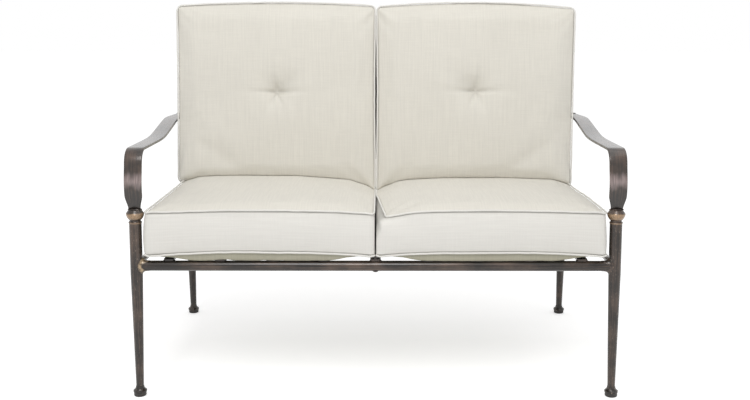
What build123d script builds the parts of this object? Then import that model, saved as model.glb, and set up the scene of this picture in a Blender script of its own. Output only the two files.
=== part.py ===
# Patio loveseat: a welded steel frame with flat strap arms, a strap seat deck and four loose box cushions.
# Millimetres. Seen from the front, +X is to the right; the seat faces -Y and +Z is up.
# The pieces are laid out from the floor point midway between the front feet. At the end
# all of them move together, so that the origin lies under the middle of the loveseat.
from build123d import *
import math
import os

os.makedirs("parts", exist_ok=True)

# Feet and legs: round steel tube, full size down to below the rails and tapered to the ankle
foot_spacing = 1162.0
foot_depth = 682.5
front_leg_splay = 7.5
leg_top_height = 434.0
leg_diameter = 29.6
leg_wall = 2.0
ankle_diameter = 18.6
ankle_height = 27.0
taper_top_height = 310.0

# Rear leg and back post: one tube, bent at the knee just above the seat deck
knee_height = 470.0
knee_depth = 615.0
knee_inset = 13.0
knee_bend_radius = 120.0
recline_deg = 9.5
post_above_cushion = 13.0
cap_height = 7.0
cap_lip = 1.4
cap_plug_length = 18.0

# Feet: a cast ferrule on each ankle and a push-in glide under it
glide_height = 9.5
glide_diameter = 30.0
glide_edge = 2.5
stem_length = 16.0
stem_clearance = 0.2
ferrule_top_height = 25.0
ferrule_diameter = 33.0
ferrule_lip = 1.2
ferrule_band = 4.0
ferrule_mouth = 0.9
ferrule_hollow = 1.2

# Turned collar between front leg and arm, from its plug in the leg to the seat of the strap
collar_height = 34.0
collar_diameter = 43.0
collar_seat_diameter = 31.6
collar_neck_diameter = 26.4
collar_bead_diameter = 31.4
collar_bead_height = 6.0
collar_groove_height = 3.0
collar_waist_diameter = 28.6
collar_widest_height = 24.5
collar_band_swell = 1.2
collar_edge = 1.2
collar_plug_length = 18.0
plug_clearance = 0.1

# Rails: round tube with coped ends, welded to the legs
rail_height = 330.0
rail_diameter = 25.0
rail_wall = 1.6
side_rail_diameter = 15.0
lower_back_rail_up = 45.0
top_rail_drop = 19.0

# Flat straps of the seat deck and of the back
strap_width = 25.0
strap_thickness = 5.0
strap_pitch = 124.0
strap_count = 9
strap_overhang = 6.0

# Bolts that hold the middle seat strap
bolt_diameter = 6.0
bolt_head_diameter = 15.0
bolt_head_height = 3.2
bolt_hole_clearance = 0.2
nut_across_flats = 10.0
nut_height = 5.0
bolt_end_length = 1.0

# Arms: flat strap, bent forward over the collar, back at the nose and in to the post
arm_width = 42.0
arm_thickness = 6.5
arm_neck_width = 30.0
arm_neck_length = 6.0
arm_height = 614.0
arm_inset = 12.0
arm_level_length = 235.0
arm_rise = 18.5
arm_rise_length = 255.0
arm_tail_rise = 8.5
arm_sweep_radius = 2500.0
arm_flare = 28.0
arm_flare_depth = 552.0
arm_flare_radius = 900.0
arm_turn_radius = 160.0
arm_end_offset = 9.0

# The arm's bow and nose are these shares of its rise from the collar
arm_front_bow_share = 0.128
arm_nose_back_share = 0.06
arm_bow_height_share = 0.47
arm_bow_radius_share = 0.86
arm_nose_radius_share = 0.24
arm_shoulder_share = 0.23

# Seat cushions
seat_front_overhang = 15.0
seat_cushion_depth = 608.0
seat_outer_reach = 547.0
seat_cushion_gap = 2.0
seat_boxing_height = 102.0
seat_crown = 19.0
seat_sag = 12.2
seat_corner_radius = 20.0
seat_draw_in = 7.0
cushion_clearance = 0.3

# Back cushions
back_head_reach = 558.0
back_foot_reach = 550.0
back_cushion_gap = 5.0
back_cushion_height = 498.0
back_cushion_press = 29.0
back_boxing_depth = 152.0
back_crown = 18.0
back_corner_radius = 16.0
back_head_bow = 13.0
back_side_draw_in = 3.0
squeeze_clearance = 0.5

# Sewn tuft in the middle of each back cushion
tuft_up = 253.0
tuft_depth = 15.0
tuft_radius = 46.0
tuft_hole_radius = 3.0
tuft_rim_rise = 0.6
tuft_slope_shares = (0.34, 0.36)

# Cushion build: a foam slab in a wrapped cover, which leaves this much cover and wrap round the slab
wrap_depth = 12.0
slab_play = 0.4
boxing_puff = 3.0

# One overrun serves every cut that has to pass right through
overrun = 40.0

# The crown's outlines are these shares of the panel's size, and get rounder towards its middle
crown_size_shares = (1.0, 0.84, 0.6, 0.32)
crown_power = 2.2
crown_rounding_share = 0.6

# Where the ferrule's flare is slimmest, as a share of the way from its mouth to its band
flare_share = 0.3

# Places worked out from the sizes above
foot_x = foot_spacing / 2
leg_radius = leg_diameter / 2
ankle_radius = ankle_diameter / 2
rail_radius = rail_diameter / 2
recline = math.radians(recline_deg)
back_up = Vector(0, math.sin(recline), math.cos(recline))
back_forward = Vector(0, -math.cos(recline), math.sin(recline))
deck_height = rail_height + rail_radius + strap_thickness
seat_welt_low = deck_height + cushion_clearance + seat_sag
seat_welt_high = seat_welt_low + seat_boxing_height

# The back cushions lean on the straps, and their foot seam lies pressed past the seat's top seam.
# Distances named ..._up are measured up the back from the knee.
back_lean = rail_radius + strap_thickness + cushion_clearance
back_foot_up = (seat_welt_high - knee_height - back_forward.Z * back_lean) / back_up.Z - back_cushion_press
back_head_up = back_foot_up + back_cushion_height
post_length = back_head_up + post_above_cushion
top_rail_up = post_length - top_rail_drop


def front_foot(side):
    return Vector(side * foot_x, 0, 0)


def front_leg_top(side):
    return Vector(side * (foot_x - front_leg_splay), 0, leg_top_height)


def rear_foot(side):
    return Vector(side * foot_x, foot_depth, 0)


def knee(side):
    return Vector(side * (foot_x - knee_inset), knee_depth, knee_height)


def post_point(side, up):
    return knee(side) + back_up * up


def dome(rim, base, rise):
    """The arc of a shallow dome, from its rim to the axis; a negative rise hangs down."""
    high = abs(rise)
    radius = (rim ** 2 + high ** 2) / (2 * high)
    middle = math.sqrt(radius ** 2 - (rim / 2) ** 2) - (radius - high)
    way = math.copysign(1, rise)
    return ThreePointArc((rim, base), (rim / 2, base + way * middle), (0, base + rise))


def at_height(low, high, height):
    """The point at this height on the straight line from low to high."""
    return low + (high - low) * ((height - low.Z) / (high.Z - low.Z))


def turned(plane, outline):
    """A solid of revolution about the plane's normal; the outline is (radius, distance along the axis)."""
    face = Plane.XZ * make_face(outline)
    return plane.location * revolve(face, Axis.Z)


def axis_plane(start, end):
    return Plane(origin=start, z_dir=end - start)


def rod(start, end, radius, extra=0):
    """A plain round bar from start to end, longer by extra at both ends."""
    way = (end - start).normalized()
    length = (end - start).length + extra + extra
    bar = Cylinder(radius, length, align=(Align.CENTER, Align.CENTER, Align.MIN))
    return axis_plane(start - way * extra, end).location * bar


def below(height):
    """Everything under a level plane, as one block."""
    block = Box(foot_spacing * 2, foot_depth * 4, leg_top_height,
                align=(Align.CENTER, Align.CENTER, Align.MAX))
    return Pos(0, 0, height) * block


# Front legs

def leg_length(side):
    return (front_leg_top(side) - front_foot(side)).length


def tapered_leg(start, end, length, shrink=0, extra=0):
    """The leg's outer form, or with shrink the form of its bore."""
    thin, full = ankle_radius - shrink, leg_radius - shrink
    points = [(0, -extra), (thin, -extra), (thin, ankle_height), (full, taper_top_height),
              (full, length + extra), (0, length + extra)]
    return turned(axis_plane(start, end), Polyline(points, close=True))


def front_leg_form(side):
    return tapered_leg(front_foot(side), front_leg_top(side), leg_length(side))


def front_leg(side):
    bore = tapered_leg(front_foot(side), front_leg_top(side), leg_length(side), leg_wall, overrun)
    return front_leg_form(side) - bore - below(glide_height)


# Rear legs with their back posts

def post_form(side, radius_shrink=0, extra=0):
    foot, bend = rear_foot(side), knee(side)
    way_down = (foot - bend).normalized()
    way_up = back_up
    shaft_start = at_height(foot, bend, taper_top_height)
    shaft_end = post_point(side, post_length) + way_up * extra
    path = FilletPolyline(shaft_start, bend, shaft_end, radius=knee_bend_radius)
    radius = leg_radius - radius_shrink
    section = Plane(origin=shaft_start, z_dir=bend - shaft_start) * Circle(radius)
    shaft = sweep(section, path=path)
    taper_length = (shaft_start - foot).length
    thin = ankle_radius - radius_shrink
    points = [(0, -extra), (thin, -extra), (thin, ankle_height), (radius, taper_length), (0, taper_length)]
    taper = turned(axis_plane(foot, foot - way_down), Polyline(points, close=True))
    return shaft + taper


def back_post(side):
    return post_form(side) - post_form(side, leg_wall, overrun) - below(glide_height)


def post_cap(side):
    """A pressed dome that closes the top of the post."""
    top = post_point(side, post_length)
    plug = leg_radius - leg_wall - plug_clearance
    rim = leg_radius - cap_lip / 2
    outline = [
        Line((0, -cap_plug_length), (plug, -cap_plug_length)),
        Line((plug, -cap_plug_length), (plug, 0)),
        Line((plug, 0), (rim, 0)),
        Line((rim, 0), (rim, cap_lip)),
        dome(rim, cap_lip, cap_height),
        Line((0, cap_lip + cap_height), (0, -cap_plug_length)),
    ]
    return turned(Plane(origin=top, z_dir=back_up), outline)


# Feet

def foot_axis(side, end):
    if end == "front":
        return axis_plane(front_foot(side), front_leg_top(side))
    return axis_plane(rear_foot(side), knee(side))


def leg_form(side, end):
    if end == "front":
        return front_leg_form(side)
    return post_form(side)


def ferrule(side, end):
    """A flared cast ring round the ankle, standing on the glide."""
    wide = ferrule_diameter / 2
    mouth = ankle_radius + ferrule_mouth
    band_top = glide_height + ferrule_lip + ferrule_band
    flare_middle = (band_top + ferrule_top_height) / 2 - ferrule_hollow
    flare_turn = Vector(mouth + (wide - mouth) * flare_share, flare_middle)
    outline = [
        Line((0, 0), (wide - ferrule_lip, 0)),
        Line((wide - ferrule_lip, 0), (wide - ferrule_lip, glide_height)),
        Line((wide - ferrule_lip, glide_height), (wide, glide_height + ferrule_lip)),
        Line((wide, glide_height + ferrule_lip), (wide, band_top)),
        ThreePointArc((wide, band_top), flare_turn, (mouth, ferrule_top_height)),
        Line((mouth, ferrule_top_height), (0, ferrule_top_height)),
        Line((0, ferrule_top_height), (0, 0)),
    ]
    return turned(foot_axis(side, end), outline) - leg_form(side, end) - below(glide_height)


def glide(side, end):
    """A plastic drum with a stem that pushes up into the ankle."""
    foot = front_foot(side) if end == "front" else rear_foot(side)
    wide = glide_diameter / 2
    soft = glide_edge * (1 - math.sqrt(0.5))
    outline = [
        Line((0, 0), (wide - glide_edge, 0)),
        ThreePointArc((wide - glide_edge, 0), (wide - soft, soft), (wide, glide_edge)),
        Line((wide, glide_edge), (wide, glide_height)),
        Line((wide, glide_height), (0, glide_height)),
        Line((0, glide_height), (0, 0)),
    ]
    drum = turned(Plane(origin=foot), outline)
    stem_radius = ankle_radius - leg_wall - stem_clearance
    points = [(0, 0), (stem_radius, 0), (stem_radius, glide_height + stem_length),
              (0, glide_height + stem_length)]
    stem = turned(foot_axis(side, end), Polyline(points, close=True)) - below(glide_height)
    return drum + stem


# Collars

def collar(side):
    """A turned bead: light ring, groove, round band, cone and the seat of the strap."""
    plug = leg_radius - leg_wall - plug_clearance
    ring, neck = collar_bead_diameter / 2, collar_neck_diameter / 2
    waist, wide, seat = collar_waist_diameter / 2, collar_diameter / 2, collar_seat_diameter / 2
    ring_top = collar_bead_height
    groove_top = ring_top + collar_groove_height
    wide_at = collar_widest_height
    band = Vector((waist + wide) / 2 + collar_band_swell, (groove_top + wide_at) / 2 - collar_band_swell, 0)
    outline = [
        Line((0, -collar_plug_length), (plug, -collar_plug_length)),
        Line((plug, -collar_plug_length), (plug, 0)),
        Line((plug, 0), (leg_radius, 0)),
        ThreePointArc((leg_radius, 0), (ring, ring_top / 2), (neck, ring_top)),
        Line((neck, ring_top), (neck, groove_top)),
        Line((neck, groove_top), (waist, groove_top)),
        ThreePointArc((waist, groove_top), band, (wide, wide_at)),
        Line((wide, wide_at), (seat, collar_height - collar_edge)),
        Line((seat, collar_height - collar_edge), (seat, collar_height)),
        Line((seat, collar_height), (0, collar_height)),
        Line((0, collar_height), (0, -collar_plug_length)),
    ]
    top = front_leg_top(side)
    return turned(Plane(origin=top, z_dir=top - front_foot(side)), outline)


# Arms

neck_height = leg_top_height + collar_height
neck_x = foot_x - front_leg_splay * neck_height / leg_top_height
arm_x = foot_x - arm_inset
arm_line_height = arm_height - arm_thickness / 2
arm_foot_height = neck_height - arm_neck_length
arm_climb = arm_line_height - arm_foot_height
arm_nose_radius = arm_climb * arm_nose_radius_share
arm_front_bow = arm_climb * arm_front_bow_share
arm_post_up = (arm_line_height + arm_rise + arm_tail_rise - knee_height) / math.cos(recline)


def arm_band(side):
    """The strap's side view, as a band much wider than the arm."""
    end_y = post_point(side, arm_post_up).Y
    places = [
        (0, arm_foot_height),
        (-arm_front_bow, arm_foot_height + arm_climb * arm_bow_height_share),
        (-arm_climb * arm_nose_back_share, arm_line_height),
        (arm_level_length, arm_line_height),
        (arm_level_length + arm_rise_length, arm_line_height + arm_rise),
        (end_y + overrun, arm_line_height + arm_rise + arm_tail_rise),
    ]
    corners = [Vector(side * arm_x, y, z) for y, z in places]
    radii = [arm_climb * arm_bow_radius_share, arm_nose_radius, arm_sweep_radius, arm_sweep_radius]
    path = FilletPolyline(*corners, radius=radii)
    section = Plane(origin=path @ 0, x_dir=(1, 0, 0), z_dir=path % 0) * Rectangle(arm_width * 4, arm_thickness)
    return sweep(section, path=path)


def arm_plan_wall(side):
    """The strap's outline from above, as a tall wall."""
    post = post_point(side, arm_post_up)
    corners = [
        Vector(side * arm_x, -arm_front_bow - overrun, 0),
        Vector(side * arm_x, arm_level_length, 0),
        Vector(side * (arm_x + arm_flare), arm_flare_depth, 0),
        Vector(post.X + side * arm_end_offset, post.Y, 0),
    ]
    path = FilletPolyline(*corners, radius=[arm_flare_radius, arm_turn_radius])
    section = Plane(origin=path @ 0, x_dir=(1, 0, 0), z_dir=path % 0) * Rectangle(arm_width, arm_height * 4)
    return sweep(section, path=path)


def arm_front_wall(side):
    """The strap's outline from the front, from its narrow neck to the nose."""
    neck, full = arm_neck_width / 2, arm_width / 2
    low, high = arm_foot_height, arm_height - arm_nose_radius / 2
    waist = neck_height + arm_neck_length / 2
    shoulder = waist + arm_climb * arm_shoulder_share
    shoulder_x = neck_x + (arm_x - neck_x) * (shoulder - neck_height) / (high - neck_height)
    edges = []
    for edge_side in (1, -1):
        foot, turn = neck_x + edge_side * neck, shoulder_x + edge_side * full
        edges.append(Line((foot, low), (foot, waist)))
        edges.append(Spline((foot, waist), (turn, shoulder), tangents=[(0, 1), (0, 1)]))
        edges.append(Line((turn, shoulder), (arm_x + edge_side * full, high)))
    edges.append(Line((neck_x - neck, low), (neck_x + neck, low)))
    edges.append(Line((arm_x - full, high), (arm_x + full, high)))
    wall = extrude(Plane.XZ * make_face(edges), amount=overrun * 2, both=True)
    return wall if side > 0 else mirror(wall, about=Plane.YZ)


def arm(side):
    split = arm_height - arm_nose_radius / 2
    upper = arm_plan_wall(side) - below(split)
    strap = arm_band(side) & (upper + arm_front_wall(side))
    return strap - collar(side) - post_form(side)


# Rails

def coped_tube(start, end, diameter, walls):
    """A tube from axis to axis, cut to fit round the tubes that it meets."""
    radius = diameter / 2
    tube = rod(start, end, radius) - rod(start, end, radius - rail_wall, overrun)
    for wall in walls:
        tube = tube - wall
    return largest(tube)


def largest(shape):
    return max(shape.solids(), key=lambda solid: solid.volume)


def front_rail_end(side):
    return at_height(front_foot(side), front_leg_top(side), rail_height)


def rear_rail_end(side):
    return at_height(rear_foot(side), knee(side), rail_height)


def bolt_hole(y):
    low = rail_height - rail_diameter
    hole = Cylinder(bolt_diameter / 2 + bolt_hole_clearance, rail_diameter * 2 + strap_thickness * 2,
                    align=(Align.CENTER, Align.CENTER, Align.MIN))
    return Pos(0, y, low) * hole


rear_rail_y = rear_rail_end(1).Y
deck_bolt_places = (("front", 0), ("rear", rear_rail_y))


def front_rail():
    walls = [front_leg_form(side) for side in (-1, 1)]
    tube = coped_tube(front_rail_end(-1), front_rail_end(1), rail_diameter, walls)
    return tube - bolt_hole(0)


def rear_rail():
    walls = [post_form(side) for side in (-1, 1)]
    tube = coped_tube(rear_rail_end(-1), rear_rail_end(1), rail_diameter, walls)
    return tube - bolt_hole(rear_rail_y)


def side_rail(side):
    walls = [front_leg_form(side), post_form(side)]
    return coped_tube(front_rail_end(side), rear_rail_end(side), side_rail_diameter, walls)


def back_rail(up):
    walls = [post_form(side) for side in (-1, 1)]
    return coped_tube(post_point(-1, up), post_point(1, up), rail_diameter, walls)


# Straps of the deck and the back, and the bolts of the middle one

strap_places = [(number - (strap_count - 1) / 2) * strap_pitch for number in range(strap_count)]


def seat_strap(x):
    length = rear_rail_y + strap_overhang * 2
    bar = Box(strap_width, length, strap_thickness, align=(Align.CENTER, Align.MIN, Align.MIN))
    bar = fillet(bar.edges().filter_by(Axis.Z), strap_thickness)
    bar = Pos(x, -strap_overhang, rail_height + rail_radius) * bar
    if abs(x) < strap_pitch / 2:
        for name, y in deck_bolt_places:
            bar = bar - bolt_hole(y)
    return bar


def back_strap(x):
    low = lower_back_rail_up - strap_overhang
    high = top_rail_up + strap_overhang
    bar = Box(strap_width, high - low, strap_thickness, align=(Align.CENTER, Align.MIN, Align.MIN))
    bar = fillet(bar.edges().filter_by(Axis.Z), strap_thickness)
    start = Vector(x, knee_depth, knee_height) + back_up * low + back_forward * rail_radius
    return Plane(origin=start, x_dir=(1, 0, 0), z_dir=back_forward).location * bar


def deck_bolt(y):
    """A dome-headed bolt from below the rail up through the strap."""
    shank = bolt_diameter / 2
    head = bolt_head_diameter / 2
    under = rail_height - rail_radius
    top = deck_height + nut_height + bolt_end_length
    outline = [
        Line((0, under - bolt_head_height), (0, top)),
        Line((0, top), (shank, top)),
        Line((shank, top), (shank, under)),
        Line((shank, under), (head, under)),
        dome(head, under, -bolt_head_height),
    ]
    bolt = turned(Plane(origin=(0, y, 0)), outline)
    rail_form = rod(front_rail_end(-1) + Vector(0, y, 0), front_rail_end(1) + Vector(0, y, 0), rail_radius)
    shaft = Pos(0, y, under) * Cylinder(shank, top - under, align=(Align.CENTER, Align.CENTER, Align.MIN))
    return bolt - (rail_form - shaft)


def deck_nut(y):
    nut = extrude(RegularPolygon(nut_across_flats / 2, 6, major_radius=False), amount=nut_height)
    bore = Cylinder(bolt_diameter / 2, nut_height * 3)
    return Pos(0, y, deck_height) * (nut - bore)


# Cushions

class Panel:
    """The outline of a cushion's face: four corners, their radius and how far each side bows out."""

    def __init__(self, low_left, low_right, high_right, high_left, radius, bows):
        self.corners = [Vector(*point) for point in (low_left, low_right, high_right, high_left)]
        self.radius = radius
        self.bows = bows
        self.middle = sum(self.corners[1:], self.corners[0]) * (1 / len(self.corners))

    def face(self, share=1, grow=0, puff=0):
        """The outline at a share of its size, grown by a length all round, its sides puffed out."""
        corners = []
        for corner in self.corners:
            out = corner - self.middle
            step = Vector(math.copysign(grow, out.X), math.copysign(grow, out.Y))
            corners.append(self.middle + (out + step) * share)
        half = (corners[1] - corners[0]).length / 2
        radius = (self.radius + grow) * share + half * crown_rounding_share * (1 - share)
        edges = []
        count = len(corners)
        for number in range(count):
            here, after = corners[number], corners[(number + 1) % count]
            beyond = corners[(number + 2) % count]
            way = (after - here).normalized()
            turn = (beyond - after).normalized()
            outward = Vector(way.Y, -way.X)
            start, end = here + way * radius, after - way * radius
            bow = (self.bows[number] + puff) * share
            middle = (start + end) * 0.5 + outward * bow
            edges.append(ThreePointArc(start, middle, end) if bow else Line(start, end))
            nip = radius * (1 - math.sqrt(0.5))
            edges.append(ThreePointArc(end, after - way * nip + turn * nip, after + turn * radius))
        return make_face(edges)


def crown_loft(panel, plane, height, grow):
    """The swelling of one face, from its seam to a small flat in its middle."""
    faces = []
    full_drop = 1 - crown_size_shares[-1] ** crown_power
    for share in crown_size_shares:
        level = height * (1 - share ** crown_power) / full_drop
        faces.append(plane.offset(level) * panel.face(share, grow))
    return loft(faces)


def cushion_form(panel, plane, thickness, front_crown, back_crown, grow=0):
    """A boxed cushion: boxing that puffs out between two seams, and a crown on each face."""
    low = plane.offset(-grow)
    half = plane.offset(thickness / 2)
    high = plane.offset(thickness + grow)
    seam = panel.face(grow=grow)
    body = loft([low * seam, half * panel.face(grow=grow, puff=boxing_puff), high * seam])
    body = body + crown_loft(panel, high, front_crown, grow)
    if back_crown > 0:
        body = body + crown_loft(panel, low, -back_crown, grow)
    return body


def slab(plane, x_limits, up_limits, depth_limits, grow):
    """The foam slab, or with grow the pocket that holds it."""
    sizes = [high - low + grow * 2 for low, high in (x_limits, up_limits, depth_limits)]
    block = Box(*sizes, align=(Align.MIN, Align.MIN, Align.MIN))
    corner = Vector(x_limits[0] - grow, up_limits[0] - grow, depth_limits[0] - grow)
    return plane.location * (Pos(corner) * block)


def seat_panel(side, draw_in=seat_draw_in):
    near, far = side * seat_cushion_gap / 2, side * seat_outer_reach
    left, right = min(near, far), max(near, far)
    front, rear = -seat_front_overhang, seat_cushion_depth - seat_front_overhang
    bows = [-draw_in] * 4
    return Panel((left, front), (right, front), (right, rear), (left, rear), seat_corner_radius, bows)


def seat_plane():
    return Plane(origin=(0, 0, seat_welt_low))


def seat_form(side):
    return cushion_form(seat_panel(side), seat_plane(), seat_boxing_height, seat_crown, seat_sag)


def seat_path_form(side):
    """The room that the seat cushion needs as it slides out: straight-sided, and larger all round."""
    panel = seat_panel(side, draw_in=0)
    return cushion_form(panel, seat_plane(), seat_boxing_height, seat_crown, seat_sag, squeeze_clearance)


def seat_slab(side, grow=0):
    """The slab stands in from the seams by the wrap's depth."""
    low, high = seat_panel(side).corners[0], seat_panel(side).corners[2]
    return slab(seat_plane(), (low.X + wrap_depth, high.X - wrap_depth),
                (low.Y + wrap_depth, high.Y - wrap_depth),
                (wrap_depth, seat_boxing_height - wrap_depth), grow)


def back_plane():
    """The plane that the back cushions lean on: across the loveseat and up along the straps."""
    origin = Vector(0, knee_depth, knee_height) + back_forward * back_lean
    return Plane(origin=origin, x_dir=(1, 0, 0), z_dir=back_forward)


def back_panel(side):
    near = side * back_cushion_gap / 2
    foot, head = side * back_foot_reach, side * back_head_reach
    low, high = back_foot_up, back_head_up
    bows = [-back_side_draw_in, -back_side_draw_in, back_head_bow, -back_side_draw_in]
    return Panel((min(near, foot), low), (max(near, foot), low), (max(near, head), high),
                 (min(near, head), high), back_corner_radius, bows)


def tuft_cutter(side):
    """A funnel that the tuft's thread pulls into the front panel."""
    rim, hole = tuft_radius, tuft_hole_radius
    outline = [
        Line((0, -tuft_depth), (hole, -tuft_depth)),
        ThreePointArc((hole, -tuft_depth), (rim * tuft_slope_shares[0], -tuft_depth * tuft_slope_shares[1]),
                      (rim, tuft_rim_rise)),
        Line((rim, tuft_rim_rise), (rim, overrun)),
        Line((rim, overrun), (0, overrun)),
        Line((0, overrun), (0, -tuft_depth)),
    ]
    plane = back_plane().offset(back_boxing_depth + back_crown)
    place = plane.from_local_coords(Vector(back_panel(side).middle.X, back_foot_up + tuft_up, 0))
    return turned(Plane(origin=place, z_dir=back_forward), outline)


def back_form(side):
    """The back cushion, pressed down on to the seat cushion under it."""
    form = cushion_form(back_panel(side), back_plane(), back_boxing_depth, back_crown, 0)
    form = form - tuft_cutter(side) - below(seat_welt_high + squeeze_clearance)
    return form - seat_path_form(side)


def back_slab(side, grow=0):
    """The slab's lowest edge stands over the seat cushion's seam by the wrap's depth."""
    plane = back_plane()
    lowest_edge = plane.origin + back_forward * wrap_depth
    foot = (seat_welt_high + wrap_depth - lowest_edge.Z) / back_up.Z
    near, far = side * back_cushion_gap / 2, side * back_foot_reach
    return slab(plane, (min(near, far) + wrap_depth, max(near, far) - wrap_depth),
                (foot, back_head_up - wrap_depth),
                (wrap_depth, back_boxing_depth - wrap_depth), grow)


# All pieces by name

sides = (("left", -1), ("right", 1))
ends = ("front", "rear")
pieces = {}
for side_name, side in sides:
    pieces[f"front_leg_{side_name}"] = front_leg(side)
    pieces[f"collar_{side_name}"] = collar(side)
    pieces[f"arm_{side_name}"] = arm(side)
    pieces[f"back_post_{side_name}"] = back_post(side)
    pieces[f"post_cap_{side_name}"] = post_cap(side)
    pieces[f"side_rail_{side_name}"] = side_rail(side)
    for end in ends:
        pieces[f"{end}_ferrule_{side_name}"] = ferrule(side, end)
        pieces[f"{end}_glide_{side_name}"] = glide(side, end)
    pieces[f"seat_cover_{side_name}"] = seat_form(side) - seat_slab(side, slab_play)
    pieces[f"seat_foam_{side_name}"] = seat_slab(side)
    pieces[f"back_cover_{side_name}"] = back_form(side) - back_slab(side, slab_play)
    pieces[f"back_foam_{side_name}"] = back_slab(side)
pieces["front_rail"] = front_rail()
pieces["rear_rail"] = rear_rail()
pieces["lower_back_rail"] = back_rail(lower_back_rail_up)
pieces["top_rail"] = back_rail(top_rail_up)
for number, x in enumerate(strap_places, start=1):
    pieces[f"seat_strap_{number}"] = seat_strap(x)
    pieces[f"back_strap_{number}"] = back_strap(x)
for name, y in deck_bolt_places:
    pieces[f"{name}_deck_bolt"] = deck_bolt(y)
    pieces[f"{name}_deck_nut"] = deck_nut(y)

# The origin lies on the floor under the middle of the whole loveseat
depths = [shape.bounding_box() for shape in pieces.values()]
front_most = min(box.min.Y for box in depths)
rear_most = max(box.max.Y for box in depths)
shift = -(front_most + rear_most) / 2

for name, shape in pieces.items():
    placed = Pos(0, shift, 0) * shape
    placed.label = name
    export_step(placed, f"parts/{name}.step")
print(f"{len(pieces)} pieces, moved by {shift:.3f} along Y")
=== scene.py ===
# Patio loveseat: a bronze-finished steel frame with strap arms, and four piped box cushions.
# Metres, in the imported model's frame: +X is right seen from the front, the seat faces -Y, +Z is up.
import bpy
import bmesh
import math
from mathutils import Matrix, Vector, noise
from mathutils.bvhtree import BVHTree


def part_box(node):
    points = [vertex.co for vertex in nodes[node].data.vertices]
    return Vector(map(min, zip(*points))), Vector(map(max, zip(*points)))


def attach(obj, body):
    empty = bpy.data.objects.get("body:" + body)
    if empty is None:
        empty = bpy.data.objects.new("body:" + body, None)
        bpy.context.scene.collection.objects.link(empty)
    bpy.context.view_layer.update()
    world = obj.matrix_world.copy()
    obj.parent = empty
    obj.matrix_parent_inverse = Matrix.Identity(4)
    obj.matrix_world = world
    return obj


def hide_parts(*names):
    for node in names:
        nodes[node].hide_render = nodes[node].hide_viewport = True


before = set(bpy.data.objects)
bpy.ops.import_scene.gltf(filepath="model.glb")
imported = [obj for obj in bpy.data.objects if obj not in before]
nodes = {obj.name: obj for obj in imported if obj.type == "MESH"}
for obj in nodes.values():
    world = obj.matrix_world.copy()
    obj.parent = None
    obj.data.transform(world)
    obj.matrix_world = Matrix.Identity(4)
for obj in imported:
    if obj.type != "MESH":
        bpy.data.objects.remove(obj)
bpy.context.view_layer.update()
sides = (("left", -1), ("right", 1))


# Tubes and straps of the frame
# The real frame is round steel tube and flat bar, welded and painted dark bronze. A copper-brown glaze
# is rubbed on by hand while the paint is soft, so it lies in streaks along each tube or bar.

class NodeTree:
    """Shorthand for one node tree: plain values are set on its sockets, and sockets are linked."""

    def __init__(self, tree):
        self.tree = tree

    def link(self, value, socket):
        if isinstance(value, bpy.types.NodeSocket):
            self.tree.links.new(value, socket)
        else:
            socket.default_value = value

    def add(self, kind, inputs=None, **settings):
        node = self.tree.nodes.new(kind)
        for key, value in settings.items():
            setattr(node, key, value)
        for key, value in (inputs or {}).items():
            self.link(value, node.inputs[key])
        return node

    def place(self, kind="Object"):
        return self.add("ShaderNodeTexCoord").outputs[kind]

    def maths(self, operation, *values, clamp=False):
        inputs = dict(enumerate(values))
        return self.add("ShaderNodeMath", inputs, operation=operation, use_clamp=clamp).outputs[0]

    def times(self, vector, factors):
        return self.add("ShaderNodeVectorMath", {0: vector, 1: factors}, operation="MULTIPLY").outputs[0]

    def noise(self, vector, scale, detail=2.0, rough=0.5):
        inputs = {"Vector": vector, "Scale": scale, "Detail": detail, "Roughness": rough}
        return self.add("ShaderNodeTexNoise", inputs).outputs["Fac"]

    def spread(self, value, low, high, to_low=0.0, to_high=1.0):
        inputs = {"Value": value, "From Min": low, "From Max": high, "To Min": to_low, "To Max": to_high}
        return self.add("ShaderNodeMapRange", inputs, interpolation_type="SMOOTHSTEP").outputs["Result"]

    def mixed(self, share, first, second):
        return self.add("ShaderNodeMix", {0: share, 6: first, 7: second}, data_type="RGBA").outputs[2]

    def bump(self, strength, distance, height):
        inputs = {"Strength": strength, "Distance": distance, "Height": height}
        return self.add("ShaderNodeBump", inputs).outputs["Normal"]


def new_group(name, kind, inputs, outputs):
    """An empty node group with its named sockets: its shorthand, what comes in and what goes out."""
    tree = bpy.data.node_groups.new(name, kind)
    for label, socket_kind, value in inputs:
        socket = tree.interface.new_socket(label, in_out="INPUT", socket_type=f"NodeSocket{socket_kind}")
        if value is not None:
            socket.default_value = value
    for label, socket_kind in outputs:
        tree.interface.new_socket(label, in_out="OUTPUT", socket_type=f"NodeSocket{socket_kind}")
    return NodeTree(tree), tree.nodes.new("NodeGroupInput").outputs, tree.nodes.new("NodeGroupOutput").inputs


def new_material(name, settings):
    """A material, its nodes' shorthand and its Principled shader's sockets, with these of them set."""
    material = bpy.data.materials.new(name)
    material.use_nodes = True
    skin = material.node_tree.nodes["Principled BSDF"].inputs
    for label, value in settings.items():
        skin[label].default_value = value
    return material, NodeTree(material.node_tree), skin


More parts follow.
